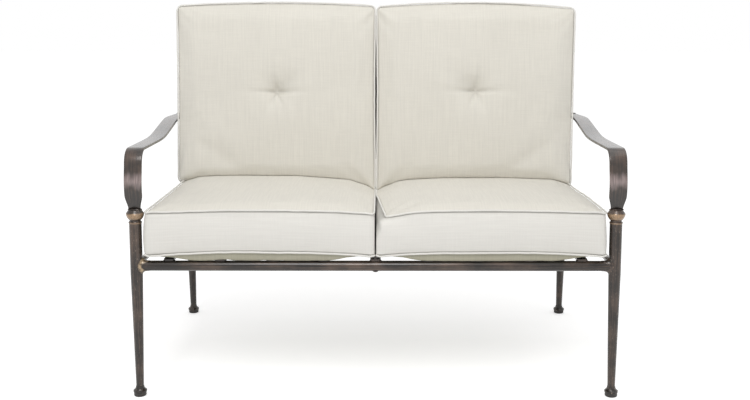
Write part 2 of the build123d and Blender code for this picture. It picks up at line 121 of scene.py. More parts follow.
glazing, glazing_in, glazing_out = new_group("rubbed_glaze", "ShaderNodeTree", [
    ("Place", "Vector", None),
    ("Streaks per metre", "Vector", (300.0, 300.0, 14.0)),
    ("Ground", "Color", (0.02, 0.016, 0.013, 1.0)),
    ("Glaze", "Color", (0.09, 0.055, 0.035, 1.0)),
    ("Glaze share", "Float", 0.6),
], [("Color", "Color"), ("Roughness", "Float"), ("Height", "Float")])
cloud = glazing.noise(glazing_in["Place"], 11.0, 4.0, 0.6)
streak = glazing.noise(glazing.times(glazing_in["Place"], glazing_in["Streaks per metre"]), 1.0, 4.0, 0.55)
grain = glazing.noise(glazing_in["Place"], 1500.0)
gathered = glazing.maths("MULTIPLY_ADD", cloud, 0.55, glazing.maths("MULTIPLY", streak, 0.45))
rubbed = glazing.maths("MULTIPLY", glazing.spread(gathered, 0.42, 0.66), glazing_in["Glaze share"])
dulled = glazing.spread(glazing.maths("MULTIPLY_ADD", grain, 0.35, streak), 0.4, 0.9, 0.3, 0.46)
glazing.link(glazing.mixed(rubbed, glazing_in["Ground"], glazing_in["Glaze"]), glazing_out["Color"])
glazing.link(dulled, glazing_out["Roughness"])
glazing.link(glazing.maths("MULTIPLY_ADD", grain, 0.4, streak), glazing_out["Height"])

bronze_ground = (0.012, 0.0095, 0.0075, 1.0)
bronze_glaze = (0.120, 0.079, 0.058, 1.0)
gold_glaze = (0.37, 0.24, 0.135, 1.0)
worn_glaze = (0.40, 0.31, 0.24, 1.0)


def bronze(name, streaks, share=0.75, glaze=bronze_glaze, kind="Object", gold_bands=(), flecks=0.0,
           coat=(0.6, 0.16)):
    """Painted and glazed steel, with bands of the gold glaze between heights given as (low, high, softness,
    strength), for rubbed gold and for painted highlights.
    """
    material, tree, skin = new_material(name, {
        "Metallic": 0.45, "Specular IOR Level": 0.35, "Coat Weight": coat[0], "Coat Roughness": coat[1]})
    place = tree.place(kind)
    glazed = tree.add("ShaderNodeGroup", {
        "Place": place, "Streaks per metre": streaks, "Ground": bronze_ground, "Glaze": glaze,
        "Glaze share": share}, node_tree=glazing.tree).outputs
    colour = glazed["Color"]
    for low, high, soft, strength in gold_bands:
        height = tree.add("ShaderNodeSeparateXYZ", {0: place}).outputs["Z"]
        wander = 0.004
        wobble = tree.maths("MULTIPLY_ADD", tree.noise(place, 160.0, 3.0), wander, height)
        start, end = low + wander / 2, high + wander / 2
        band = tree.maths("MULTIPLY", tree.spread(wobble, start - soft, start + soft),
                          tree.spread(wobble, end - soft, end + soft, 1.0, 0.0))
        worn = tree.spread(tree.noise(place, 420.0, 3.0), 0.3, 0.56, strength * 0.35, strength)
        colour = tree.mixed(tree.maths("MULTIPLY", band, worn), colour, gold_glaze)
    if flecks:
        spots = tree.noise(tree.times(place, (1.0, 1.0, 0.3)), 380.0, 3.0, 0.6)
        colour = tree.mixed(tree.spread(spots, 0.60, 0.70, 0.0, flecks), colour, worn_glaze)
    tree.link(colour, skin["Base Color"])
    tree.link(glazed["Roughness"], skin["Roughness"])
    tree.link(tree.bump(0.25, 0.0004, glazed["Height"]), skin["Normal"])
    return material


def painted_over(material, mask, colour):
    """Covers a material's colour with another one where the mask says."""
    tree = NodeTree(material.node_tree)
    base = material.node_tree.nodes["Principled BSDF"].inputs["Base Color"]
    tree.link(tree.mixed(mask, base.links[0].from_socket, colour), base)


def dress(material, *starts):
    """Gives a material to every CAD node whose name starts with one of these."""
    for name, node in nodes.items():
        if name.startswith(starts):
            for slot in node.material_slots:
                slot.material = material


upright_bronze = bronze("bronze_upright_tube", (420.0, 420.0, 9.0))
crosswise_bronze = bronze("bronze_cross_tube", (9.0, 420.0, 420.0))
fore_aft_bronze = bronze("bronze_fore_aft_bar", (420.0, 9.0, 420.0))
front_leg_bronze = bronze("bronze_front_leg", (420.0, 420.0, 9.0), flecks=0.25)
dress(front_leg_bronze, "front_leg_")
dress(upright_bronze, "back_post_", "back_strap_")
dress(crosswise_bronze, "front_rail", "rear_rail", "lower_back_rail", "top_rail")
dress(fore_aft_bronze, "side_rail_", "seat_strap_")


# Feet
# Each ankle ends in a flared cast ferrule over a push-in plastic glide. The casting is painted with
# the frame and worn lighter in small flecks, and so are the caps on the back posts.
foot_bronze = bronze("bronze_foot", (300.0, 300.0, 300.0), flecks=0.45)
dress(foot_bronze, "front_ferrule_", "rear_ferrule_", "post_cap_")

glide_plastic, glide_tree, glide_skin = new_material("glide_moulded_plastic", {})
glide_black, glide_grey = (0.022, 0.02, 0.018, 1.0), (0.07, 0.06, 0.05, 1.0)
scuff = glide_tree.noise(glide_tree.place(), 240.0, 5.0, 0.65)
glide_tree.link(glide_tree.mixed(glide_tree.spread(scuff, 0.45, 0.75), glide_black, glide_grey),
                glide_skin["Base Color"])
glide_tree.link(glide_tree.spread(scuff, 0.3, 0.7, 0.42, 0.62), glide_skin["Roughness"])
dress(glide_plastic, "front_glide_", "rear_glide_")


# Collars
# A turned steel bead plugs into the top of each front leg: a thin ring, a dark groove and a round band rubbed
# gold, under the cone that the arm's strap stands on. The thin ring carries a pale band of painted highlight.
collar_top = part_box("collar_left")[1].z
# The upper band is the gold rubbed into the bead; the lower one is a painted highlight along the thin ring.
collar_bronze = bronze("bronze_collar", (260.0, 260.0, 260.0), share=0.9, flecks=0.5,
                       gold_bands=((collar_top - 0.0220, collar_top - 0.0085, 0.0022, 0.85),
                                   (collar_top - 0.0365, collar_top - 0.0305, 0.0012, 0.45)))
dress(collar_bronze, "collar_")


# Bolts of the middle strap
# Dome-headed bolts pass up through the rails and the middle strap, and a hex nut holds each.
# Both are painted with the frame.
bolt_bronze = bronze("bronze_bolt", (500.0, 500.0, 500.0), share=0.5)
dress(bolt_bronze, "front_deck_", "rear_deck_")


# Arms
# Flat bar, bent on edge and on the flat: up from the collar in a shallow bow, back over a round nose,
# and along to the rear post. Its edges are rolled round.
front_feet_y = sum(corner.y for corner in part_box("front_glide_left")) / 2
foot_x = sum(corner.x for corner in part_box("front_glide_right")) / 2
arm_foot_z = 0.462
arm_line_z = 0.61075
arm_climb = arm_line_z - arm_foot_z
arm_x = foot_x - 0.012
arm_thickness = 0.0065
arm_half_width = 0.021
neck_half_width = 0.0145
neck_x = foot_x - 0.0081
arm_edge_radius = 0.0024
post_y = 0.30066
arm_side_corners = [
    (front_feet_y, arm_foot_z), (front_feet_y - arm_climb * 0.128, arm_foot_z + arm_climb * 0.47),
    (front_feet_y - arm_climb * 0.06, arm_line_z), (front_feet_y + 0.235, arm_line_z),
    (front_feet_y + 0.490, arm_line_z + 0.0185), (post_y + 0.04, arm_line_z + 0.027),
]
arm_side_radii = (arm_climb * 0.86, arm_climb * 0.24, 2.5, 2.5)
arm_plan_corners = [
    (arm_x, front_feet_y - 0.06), (arm_x, front_feet_y + 0.235),
    (arm_x + 0.028, front_feet_y + 0.552), (0.577, post_y),
]
arm_plan_radii = (0.9, 0.16)


def running_lengths(points):
    """How far along its line each point lies."""
    lengths = [0.0]
    for before, after in zip(points, points[1:]):
        lengths.append(lengths[-1] + (after - before).length)
    return lengths


def picked(points, shares):
    """The points of a line at these shares of its length."""
    lengths = running_lengths(points)
    found, number = [], 0
    for reach in (share * lengths[-1] for share in shares):
        while number < len(points) - 2 and lengths[number + 1] < reach:
            number += 1
        span = lengths[number + 1] - lengths[number]
        share = (reach - lengths[number]) / span if span else 0.0
        found.append(points[number].lerp(points[number + 1], share))
    return found


def rounded_path(corners, radii, step):
    """Points evenly spaced along straight runs joined by arcs."""
    points = [Vector(corners[0])]
    for here, before, after, radius in zip(corners[1:-1], corners[:-2], corners[2:], radii):
        here = Vector(here)
        way_in, way_out = (here - Vector(before)).normalized(), (Vector(after) - here).normalized()
        turn = way_in.angle(way_out)
        start = here - way_in * radius * math.tan(turn / 2)
        side = 1.0 if way_in.cross(way_out) > 0 else -1.0
        centre = start + Vector((-way_in.y, way_in.x)) * radius * side
        arm = start - centre
        for angle in (side * turn * count / 24 for count in range(25)):
            points.append(centre + Vector((arm.x * math.cos(angle) - arm.y * math.sin(angle),
                                           arm.x * math.sin(angle) + arm.y * math.cos(angle))))
    points.append(Vector(corners[-1]))
    count = round(running_lengths(points)[-1] / step)
    return picked(points, [number / count for number in range(count + 1)])


def unit(value):
    return min(1.0, max(0.0, value))


def smooth_share(value, low, high):
    share = unit((value - low) / (high - low))
    return share * share * (3 - 2 * share)


def new_object(name, data):
    piece = bpy.data.objects.new(name, data)
    bpy.context.scene.collection.objects.link(piece)
    return piece


def shaped(form, name, materials, turn_out=True):
    """The smooth object that a bmesh form becomes, its faces turned outward."""
    if turn_out:
        bmesh.ops.recalc_face_normals(form, faces=form.faces)
    mesh = bpy.data.meshes.new(name)
    form.to_mesh(mesh)
    form.free()
    for material in materials:
        mesh.materials.append(material)
    mesh.polygons.foreach_set("use_smooth", [True] * len(mesh.polygons))
    return new_object(name, mesh)


def add_face(form, uv, corners, places, part=0):
    face = form.faces.new(corners)
    face.material_index = part
    for loop, place in zip(face.loops, places):
        loop[uv].uv = place


def skin_rows(form, uv, rows, girth, run, part=0):
    """Quads between rings of vertices; girth and run are their UV round the rings and along."""
    for row, (low, high) in enumerate(zip(rows, rows[1:])):
        for number in range(len(low)):
            after = (number + 1) % len(low)
            places = ((girth[number], run[row]), (girth[number + 1], run[row]),
                      (girth[number + 1], run[row + 1]), (girth[number], run[row + 1]))
            add_face(form, uv, (low[number], low[after], high[after], high[number]), places, part)


def skinned(name, rings, materials, closed=False):
    """A tube of quads through rings of points, its UV in metres round it and along it."""
    form = bmesh.new()
    lines = [[form.verts.new(point) for point in ring] for ring in rings]
    uv = form.loops.layers.uv.new("UVMap")
    around, middle = len(rings[0]), rings[len(rings) // 2]
    girth = running_lengths(middle + middle[:1])
    run = running_lengths([sum(ring, Vector()) / around for ring in rings])
    skin_rows(form, uv, lines, girth, run)
    if closed:
        bmesh.ops.remove_doubles(form, verts=form.verts, dist=0.00001)
    else:
        form.faces.new(list(reversed(lines[0])))
        form.faces.new(lines[-1])
    return shaped(form, name, materials)


def bar_section(half_width, half_thickness, radius):
    """The bar's rounded outline, as pairs (across, out)."""
    outline = []
    for quarter, (across, out) in enumerate(((1, 1), (-1, 1), (-1, -1), (1, -1))):
        for count in range(6):
            angle = math.radians(90 * quarter + 90 * count / 5)
            outline.append((across * (half_width - radius) + radius * math.cos(angle),
                            out * (half_thickness - radius) + radius * math.sin(angle)))
    return outline


# The streaks run along the bar. The pale band on the bow below the nose is a painted highlight, standing in
# for a reflection in the bar's curved face.
arm_bronze = bronze("bronze_arm_bar", (620.0, 7.0, 1.0), share=0.6, glaze=(0.15, 0.092, 0.066, 1.0),
                    kind="UV", coat=(0.9, 0.2))
arm_tree = NodeTree(arm_bronze.node_tree)
arm_place = arm_tree.place("UV")
arm_run = arm_tree.add("ShaderNodeSeparateXYZ", {0: arm_place}).outputs["Y"]
bow_highlight_streaks = arm_tree.noise(arm_tree.times(arm_place, (900.0, 16.0, 1.0)), 1.0, 3.0, 0.6)
bow_highlight_wander = arm_tree.maths("MULTIPLY_ADD", arm_tree.noise(arm_tree.times(arm_place, (60.0, 30.0, 1.0)), 1.0),
                            0.03, arm_tree.maths("SUBTRACT", arm_run, 0.015))
# Painted highlight: a pale band across the bow's middle, streaked along the bar.
bow = arm_tree.maths("MULTIPLY", arm_tree.spread(bow_highlight_wander, 0.048, 0.072),
                     arm_tree.spread(bow_highlight_wander, 0.072, 0.096, 1.0, 0.0))
bow = arm_tree.maths("MULTIPLY", bow, arm_tree.spread(bow_highlight_streaks, 0.3, 0.66, 0.2, 0.85))
painted_over(arm_bronze, bow, (0.36, 0.28, 0.27, 1.0))
arm_side_line = [point for point in rounded_path(arm_side_corners, arm_side_radii, 0.004)
                 if point.y > collar_top - 0.0012 and point.x < post_y - 0.004]
arm_plan_line = rounded_path(arm_plan_corners, arm_plan_radii, 0.004)


def arm_plan_at(y):
    """The arm's centre and its half width across X where it passes this Y."""
    for before, after in zip(arm_plan_line, arm_plan_line[1:]):
        if before.y <= y <= after.y:
            share = (y - before.y) / (after.y - before.y)
            way = (after - before).normalized()
            return before.lerp(after, share).x, arm_half_width / way.y
    return (arm_plan_line[0].x, arm_half_width) if y < 0 else (arm_plan_line[-1].x, arm_half_width)


def arm_rings(sign):
    rings = []
    nose_z = arm_line_z - 0.02
    for number, point in enumerate(arm_side_line):
        before = arm_side_line[max(0, number - 1)]
        after = arm_side_line[min(len(arm_side_line) - 1, number + 1)]
        way = (after - before).normalized()
        centre, half = arm_plan_at(point.x)
        if point.y < nose_z and point.x < 0:
            centre = neck_x + (arm_x - neck_x) * smooth_share(point.y, collar_top, nose_z)
            half = neck_half_width + (arm_half_width - neck_half_width) * smooth_share(
                point.y, collar_top + 0.001, collar_top + 0.036)
        out = Vector((0, -way.y, way.x))
        place = Vector((centre * sign, point.x, point.y))
        rings.append([place + Vector((across * sign, 0, 0)) + out * depth
                      for across, depth in bar_section(half, arm_thickness / 2, arm_edge_radius)])
    return rings


for side, sign in sides:
    arm = skinned(f"arm_bar_{side}", arm_rings(sign), [arm_bronze])
    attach(arm, "frame")
    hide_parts(f"arm_{side}")


# Welds
# Every rail is welded round its coped end. The beads are dressed smooth into a small fillet, and the
# glaze is wiped off the left front one, so it shows gold. A round bead holds each end of an arm.
plain_weld = bronze("bronze_plain_weld", (200.0, 200.0, 200.0), share=0.9, flecks=0.5)
wiped_weld = bronze("bronze_weld", (200.0, 200.0, 200.0), share=0.9)
weld_tree = NodeTree(wiped_weld.node_tree)
weld_spots = weld_tree.noise(weld_tree.place(), 130.0, 4.0, 0.6)
weld_wiped = weld_tree.add("ShaderNodeAttribute", attribute_name="wiped").outputs["Fac"]
painted_over(wiped_weld, weld_tree.maths("MULTIPLY", weld_wiped, weld_tree.spread(
    weld_spots, 0.36, 0.6, 0.15, 1.0)), (0.44, 0.325, 0.20, 1.0))

tube_radius = 0.0148
rail_radius = 0.0125
side_rail_radius = 0.0075


def weld_ring(name, rail_start, rail_way, rail_radius, post, climb_size, run_size, material):
    """A concave fillet round a rail's end on a round post, thin where the two run into each other."""
    post_point, post_way = post
    side_way = rail_way.cross(post_way).normalized()
    up_way = side_way.cross(rail_way).normalized()
    root_depth = 0.0012
    form = bmesh.new()
    wiped = form.verts.layers.float.new("wiped")
    lines = []
    for step in range(48):
        angle = math.tau * step / 48
        radial = side_way * math.cos(angle) + up_way * math.sin(angle)
        on_rail = rail_start + radial * rail_radius
        offset = on_rail - post_point
        flat = offset - post_way * offset.dot(post_way)
        run = rail_way - post_way * rail_way.dot(post_way)
        a, b, c = run.dot(run), 2 * flat.dot(run), flat.dot(flat) - tube_radius ** 2
        corner = on_rail + rail_way * (-b - math.sqrt(max(0.0, b * b - 4 * a * c))) / (2 * a)
        wall = corner - post_point
        wall = (wall - post_way * wall.dot(post_way)).normalized()
        climb, along = (radial - wall * radial.dot(wall)).normalized(), -rail_way
        room = 1 + min(0.0, climb.dot(along))
        climb_reach, run_reach = climb_size * (0.15 + 0.85 * room), run_size * (0.3 + 0.7 * room)
        inner = corner - along * root_depth - climb * root_depth
        ring = [form.verts.new(inner + climb * (climb_reach + 0.001))]
        for share in (count / 6 for count in range(7)):
            place = corner + climb * climb_reach * (1 - share) ** 2 + along * run_reach * share ** 2
            ring.append(form.verts.new(place + (wall + radial) * 0.0003))
            ring[-1][wiped] = math.sin(math.pi * share) ** 0.6 if 0 < share < 1 else 0.0
        ring.append(form.verts.new(inner + along * (run_reach + 0.001)))
        ring.append(form.verts.new(inner))
        lines.append(ring)
    for step, ring in enumerate(lines):
        beside = lines[(step + 1) % len(lines)]
        for number in range(len(ring)):
            after = (number + 1) % len(ring)
            form.faces.new((ring[number], ring[after], beside[after], beside[number]))
    bead = shaped(form, name, [material])
    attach(bead, "frame")


def weld_bead(name, line, radius):
    """A round bead along a closed line, rippled as it was laid."""
    middle = sum(line, Vector()) / len(line)
    flat = (line[0] - middle).cross(line[len(line) // 4] - middle).normalized()
    rings = []
    for step, point in enumerate(line):
        way = (line[(step + 1) % len(line)] - line[step - 1]).normalized()
        outward = flat.cross(way)
        size = radius * (1 + 0.18 * noise.noise(point * 700 + middle))
        rings.append([point + (outward * math.cos(turn) + flat * math.sin(turn)) * size
                      for turn in (math.tau * part / 8 for part in range(8))])
    bead = skinned(name, rings + rings[:1], [plain_weld], closed=True)
    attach(bead, "frame")


def middle_of(name):
    return sum(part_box(name), Vector()) / 2


recline = math.radians(9.5)
back_up = Vector((0, math.sin(recline), math.cos(recline)))
for side, sign in sides:
    outward, ahead = Vector((sign, 0, 0)), Vector((0, -1, 0))
    leg_top = Vector((sign * (foot_x - 0.0075), front_feet_y, 0.434))
    leg_foot = Vector((sign * foot_x, front_feet_y, 0.0))
    rear_foot = Vector((sign * foot_x, front_feet_y + 0.6825, 0))
    knee = Vector((sign * (foot_x - 0.013), front_feet_y + 0.615, 0.470))
    leg = (leg_foot, (leg_top - leg_foot).normalized())
    shank = (knee, (knee - rear_foot).normalized())
    for label, rail, way, radius, post, climb, run in (
            ("front_rail", "front_rail", outward, rail_radius, leg, 0.0085, 0.0175),
            ("rear_rail", "rear_rail", outward, rail_radius, shank, 0.005, 0.007),
            ("side_rail_front", f"side_rail_{side}", ahead, side_rail_radius, leg, 0.004, 0.005),
            ("side_rail_rear", f"side_rail_{side}", -ahead, side_rail_radius, shank, 0.004, 0.005),
            ("lower_back_rail", "lower_back_rail", outward, rail_radius, (knee, back_up), 0.005, 0.007),
            ("top_rail", "top_rail", outward, rail_radius, (knee, back_up), 0.005, 0.007)):
        finish = wiped_weld if label == "front_rail" and side == "left" else plain_weld
        weld_ring(f"{label}_weld_{side}", middle_of(rail), way, radius, post, climb, run, finish)
    foot_line = [Vector((sign * (neck_x - 0.0001) + 0.0158 * math.cos(math.tau * step / 32),
                         front_feet_y - 0.0003 + 0.0048 * math.sin(math.tau * step / 32), collar_top))
                 for step in range(32)]
    weld_bead(f"arm_foot_weld_{side}", foot_line, 0.0017)
    weld_bead(f"arm_rear_weld_{side}", arm_rings(sign)[-2], 0.0016)


def end_tree(tree, geometry, material, geometry_out):
    """Ends a geometry node tree: what it made is real, smooth and in its material."""
    real = tree.add("GeometryNodeRealizeInstances", {"Geometry": geometry})
    soft = tree.add("GeometryNodeSetShadeSmooth", {"Geometry": real.outputs[0]})
    painted = tree.add("GeometryNodeSetMaterial", {"Geometry": soft.outputs[0], "Material": material})
    tree.link(painted.outputs[0], geometry_out)


beads, beads_in, beads_out = new_group("strap_weld_beads", "GeometryNodeTree", [
    ("Geometry", "Geometry", None),
    ("Bead radius", "Float", 0.0019),
    ("Bead length", "Float", 0.013),
    ("Unevenness seed", "Int", 7),
    ("Finish", "Material", None),
], [("Geometry", "Geometry")])
bead_half = beads.maths("MULTIPLY", beads_in["Bead length"], 0.5)
bead_end = beads.add("ShaderNodeCombineXYZ", {"Y": bead_half}).outputs[0]
bead_line = beads.add("GeometryNodeCurvePrimitiveLine", {
    "Start": beads.times(bead_end, (-1.0, -1.0, -1.0)), "End": bead_end})
bead_spots = beads.add("GeometryNodeResampleCurve", {"Curve": bead_line.outputs[0], "Count": 9})
bead_share = beads.add("GeometryNodeSplineParameter").outputs["Factor"]
bead_bulge = beads.maths("SINE", beads.maths("MULTIPLY_ADD", bead_share, math.pi * 0.9, math.pi * 0.05))
bead_sized = beads.add("GeometryNodeSetCurveRadius", {
    "Curve": bead_spots.outputs[0], "Radius": beads.maths("POWER", bead_bulge, 0.45)})
bead_round = beads.add("GeometryNodeCurvePrimitiveCircle", {
    "Resolution": 8, "Radius": beads_in["Bead radius"]})
bead_skin = beads.add("GeometryNodeCurveToMesh", {
    "Curve": bead_sized.outputs[0], "Profile Curve": bead_round.outputs["Curve"],
    "Scale": beads.add("GeometryNodeInputRadius").outputs[0], "Fill Caps": True})
bead_sizes = beads.add("FunctionNodeRandomValue", {
    2: 0.85, 3: 1.12, "Seed": beads_in["Unevenness seed"]}, data_type="FLOAT").outputs[1]
beads_laid = beads.add("GeometryNodeInstanceOnPoints", {
    "Points": beads_in["Geometry"], "Instance": bead_skin.outputs[0], "Scale": bead_sizes})
end_tree(beads, beads_laid.outputs[0], beads_in["Finish"], beads_out["Geometry"])


def grown_from(tree, name, source, values):
    """The plain mesh that a geometry node tree makes from a curve or a mesh."""
    holder = new_object(name, source)
    modifier = holder.modifiers.new("tree", "NODES")
    modifier.node_group = tree
    labels = {item.name: item.identifier for item in tree.interface.items_tree if item.in_out == "INPUT"}
    for label, value in values.items():
        modifier[labels[label]] = value
    bpy.context.view_layer.update()
    mesh = bpy.data.meshes.new_from_object(holder.evaluated_get(bpy.context.evaluated_depsgraph_get()))
    holder.modifiers.remove(modifier)
    bpy.data.objects.remove(holder)
    return mesh


strap_weld_spots = []
for rail in ("front_rail", "rear_rail"):
    rail_y = middle_of(rail).y
    for number in range(1, 10):
        strap_low, strap_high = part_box(f"seat_strap_{number}")
        strap_weld_spots += [(edge, rail_y, strap_low.z + 0.0006) for edge in (strap_low.x, strap_high.x)]
strap_weld_mesh = bpy.data.meshes.new("strap_weld_spots")
strap_weld_mesh.from_pydata(strap_weld_spots, [], [])
strap_welds = new_object("seat_strap_welds", grown_from(
    beads.tree, "strap_weld_spots", strap_weld_mesh, {"Finish": plain_weld}))
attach(strap_welds, "frame")


# Seat cushions
# Each is a foam slab in a fibre wrap and a cover of slubbed outdoor linen weave: top and bottom panels,
# boxing between them, and a self-covered welt sewn into both seams. The foam swells the panels.
weave, weave_in, weave_out = new_group("slub_weave", "ShaderNodeTree", [
    ("Cloth place", "Vector", None),
    ("Light yarn", "Color", (0.75, 0.73, 0.66, 1.0)),
    ("Dark yarn", "Color", (0.6, 0.58, 0.52, 1.0)),
    ("Yarns per metre", "Float", 900.0),
    ("Slub strength", "Float", 1.0),
], [("Color", "Color"), ("Height", "Float")])
yarn_place = weave.add("ShaderNodeVectorMath", {
    0: weave_in["Cloth place"], "Scale": weave_in["Yarns per metre"]}, operation="SCALE")
yarn_parts = weave.add("ShaderNodeSeparateXYZ", {0: yarn_place.outputs[0]}).outputs
warp, weft = (weave.maths("SINE", weave.maths("MULTIPLY", yarn_parts[part], math.pi)) for part in "XY")
over_under = weave.maths("MULTIPLY_ADD", weave.maths("MULTIPLY", warp, weft), 0.5, 0.5)
slub = weave.noise(weave.times(weave_in["Cloth place"], (270.0, 9.0, 1.0)), 1.0, 3.0, 0.6)
cross_slub = weave.noise(weave.times(weave_in["Cloth place"], (16.0, 420.0, 1.0)), 1.0)
shade_cloud = weave.noise(weave_in["Cloth place"], 7.0)
slubbed = weave.maths("MULTIPLY_ADD", cross_slub, 0.35, weave.maths("MULTIPLY", slub, 0.65))
slub_mask = weave.maths("MULTIPLY", weave.spread(slubbed, 0.34, 0.68), weave_in["Slub strength"])
clouded = weave.maths("MULTIPLY_ADD", shade_cloud, 0.35, weave.maths("MULTIPLY", slub_mask, 0.5))
yarn_mask = weave.maths("MULTIPLY_ADD", over_under, 0.14, clouded, clamp=True)
weave.link(weave.mixed(yarn_mask, weave_in["Dark yarn"], weave_in["Light yarn"]), weave_out["Color"])
weave.link(weave.maths("MULTIPLY_ADD", slubbed, 0.8, over_under), weave_out["Height"])

# Painted shade: the cloth is greyed towards this grey close to its seams, in the tuft's folds and in the gap
# at the right seat cushion's inner front corner, where shade falls; the grey fades out over this reach.
painted_shade_reach = 0.004
painted_shade_grey = (0.2, 0.195, 0.18, 1.0)


def linen(name, light, dark, turned=False, strength=0.5, seam_painted_shade=0.2):
    """Cover cloth on the piece's own UV in metres, greyed as painted shade close to its seams and in its
    folds; turned lays the slubs across.
    """
    material, tree, skin = new_material(name, {
        "Roughness": 0.92, "Sheen Weight": 0.15, "Sheen Roughness": 0.5, "Specular IOR Level": 0.25})
    place = tree.place("UV")
    if turned:
        quarter = (0, 0, math.radians(90))
        place = tree.add("ShaderNodeMapping", {"Vector": place, "Rotation": quarter}).outputs[0]
    cloth = tree.add("ShaderNodeGroup", {"Light yarn": (*light, 1.0), "Dark yarn": (*dark, 1.0),
                                         "Cloth place": place}, node_tree=weave.tree).outputs
    gap = tree.add("ShaderNodeAttribute", attribute_name="painted_shade_gap").outputs["Fac"]
    shade = tree.spread(gap, 0.0008, painted_shade_reach, seam_painted_shade, 0.0)
    tree.link(tree.mixed(shade, cloth["Color"], painted_shade_grey), skin["Base Color"])
    tree.link(tree.bump(strength, 0.0005, cloth["Height"]), skin["Normal"])
    return material


panel_linen = linen("linen_panel", (0.745, 0.718, 0.645), (0.64, 0.615, 0.555))
boxing_linen = linen("linen_boxing", (0.785, 0.768, 0.722), (0.71, 0.69, 0.648), turned=True, seam_painted_shade=0.5)
# The underside's colour is darkened as painted shade for the shadow under the seat.
under_linen = linen("linen_underside", (0.5, 0.48, 0.37), (0.4, 0.38, 0.29))
welt_linen = linen("linen_welt", (0.8, 0.785, 0.74), (0.68, 0.665, 0.625), turned=True, strength=0.3,
                   seam_painted_shade=0.0)

foam_material, foam_tree, foam_skin = new_material("cushion_open_cell_foam", {"Roughness": 0.95})
foam_cells = foam_tree.add("ShaderNodeTexVoronoi", {"Vector": foam_tree.place(), "Scale": 900.0})
foam_tree.link(foam_tree.mixed(foam_tree.noise(foam_tree.place(), 6.0), (0.82, 0.74, 0.5, 1.0),
                               (0.88, 0.83, 0.64, 1.0)), foam_skin["Base Color"])
foam_tree.link(foam_tree.bump(0.6, 0.0006, foam_cells.outputs["Distance"]), foam_skin["Normal"])


def side_shares(length, widest, seam_step, middle_step):
    """Where the grid's lines cross a side: close together by the seams and, for a tuft, in the middle."""
    half, places = length / 2, [0.0]
    while places[-1] < half:
        place = places[-1]
        places.append(place + min(widest, seam_step + place * 0.4, middle_step + abs(half - place) * 0.1))
    stretch = half / places[-1]
    first = [place * stretch / length for place in places[:-1]]
    return first + [0.5] + [1 - share for share in reversed(first)]


def cushion_side(start, end, before, after, radius, bow, shares):
    """One side of a cushion's outline, from the middle of one corner's arc to the middle of the next."""
    way, length = (end - start).normalized(), (end - start).length
    outward = Vector((way.y, -way.x))
    back, on = (before - start).normalized(), (after - end).normalized()
    turns = [math.radians(45 + 45 * step / 8) for step in range(9)]

    def arc(corner, inward, beside):
        return [corner + (inward + beside) * radius - beside * radius * math.sin(turn)
                - inward * radius * math.cos(turn) for turn in turns]

    straight = [start + way * (radius + (length - 2 * radius) * share)
                + outward * bow * 4 * share * (1 - share) for share in (step / 80 for step in range(1, 80))]
    return picked(arc(start, way, back) + straight + arc(end, -way, on)[::-1], shares)


def roll(gap, reach):
    """A panel's rise beside its seam: a quarter round that ends level at this reach."""
    return math.sqrt(1 - (1 - unit(gap / reach)) ** 2)


def dome(share):
    return 1 - (2 * share - 1) ** 2


def edge_gaps(u, v, width, height):
    """How far a place on a panel lies from its nearer side and from its nearer end."""
    return min(u, 1 - u) * width, min(v, 1 - v) * height


